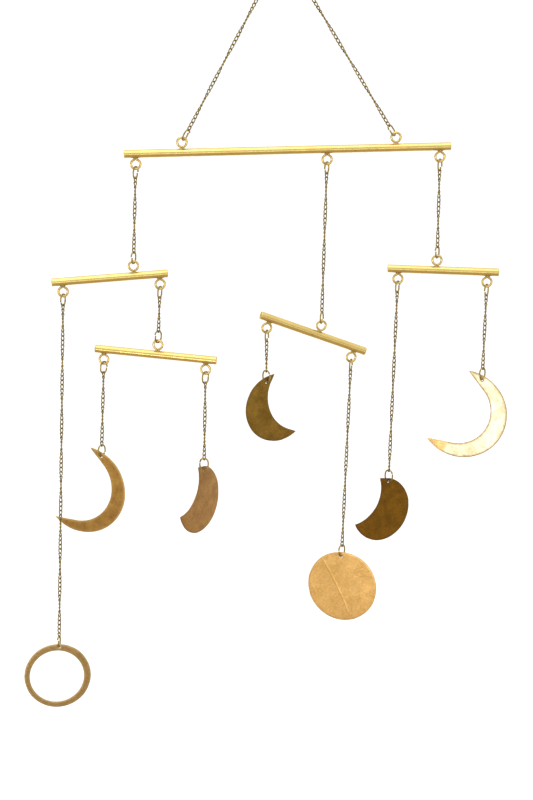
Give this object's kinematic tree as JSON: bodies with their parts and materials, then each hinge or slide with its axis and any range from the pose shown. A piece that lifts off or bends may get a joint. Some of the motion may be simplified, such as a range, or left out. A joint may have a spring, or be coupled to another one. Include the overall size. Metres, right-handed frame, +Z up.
{
  "type": "hanging mobile",
  "caption": "Brass hanging mobile: round rods hung below each other on fine curb chain from one ring, with thin sheet crescents, a disc and a plain ring, like phases of the moon.",
  "frame": {"origin": "top of the hanging ring's hole, where the ring bears on its hook", "axes": "+Z up, +X along the mobile's width to the right as seen from the front, +Y from the front to the back"},
  "size_m": [0.4563, 0.0825, 0.7431],
  "materials": {
    "rods": "drawn brass rod, lightly polished, with small tool marks and a few dark specks",
    "fittings": "antique brass chain, jump rings and hanging ring, slightly tarnished",
    "pale_sheet": "matte light gold sheet brass with faint scratches and mottling",
    "dark_sheet": "matte brown-gold sheet brass, mottled"
  },
  "bodies": {
    "root": {"hanging_ring": "fittings", "top_bar": "rods", "left_bar": "rods", "middle_bar": "rods", "right_bar": "rods", "third_bar": "rods", "moon_ring": "pale_sheet", "full_moon": "pale_sheet", "thin_crescent_left": "pale_sheet", "thin_crescent_right": "pale_sheet", "wide_crescent_left": "dark_sheet", "wide_crescent_right": "dark_sheet", "middle_crescent": "dark_sheet", "hanging_chain_left": "fittings", "hanging_chain_left_jump_ring_upper": "fittings", "hanging_chain_left_jump_ring_lower": "fittings", "hanging_chain_right": "fittings", "hanging_chain_right_jump_ring_upper": "fittings", "hanging_chain_right_jump_ring_lower": "fittings", "left_bar_chain": "fittings", "left_bar_chain_jump_ring_upper": "fittings", "left_bar_chain_jump_ring_lower": "fittings", "middle_bar_chain": "fittings", "middle_bar_chain_jump_ring_upper": "fittings", "middle_bar_chain_jump_ring_lower": "fittings", "right_bar_chain": "fittings", "right_bar_chain_jump_ring_upper": "fittings", "right_bar_chain_jump_ring_lower": "fittings", "third_bar_chain": "fittings", "third_bar_chain_jump_ring_upper": "fittings", "third_bar_chain_jump_ring_lower": "fittings", "moon_ring_chain": "fittings", "moon_ring_chain_jump_ring_upper": "fittings", "moon_ring_chain_jump_ring_lower": "fittings", "full_moon_chain": "fittings", "full_moon_chain_jump_ring_upper": "fittings", "full_moon_chain_jump_ring_lower": "fittings", "thin_crescent_left_chain": "fittings", "thin_crescent_left_chain_jump_ring_upper": "fittings", "thin_crescent_left_chain_jump_ring_lower": "fittings", "thin_crescent_right_chain": "fittings", "thin_crescent_right_chain_jump_ring_upper": "fittings", "thin_crescent_right_chain_jump_ring_lower": "fittings", "wide_crescent_left_chain": "fittings", "wide_crescent_left_chain_jump_ring_upper": "fittings", "wide_crescent_left_chain_jump_ring_lower": "fittings", "wide_crescent_right_chain": "fittings", "wide_crescent_right_chain_jump_ring_upper": "fittings", "wide_crescent_right_chain_jump_ring_lower": "fittings", "middle_crescent_chain": "fittings", "middle_crescent_chain_jump_ring_upper": "fittings", "middle_crescent_chain_jump_ring_lower": "fittings"}
  },
  "joints": []
}
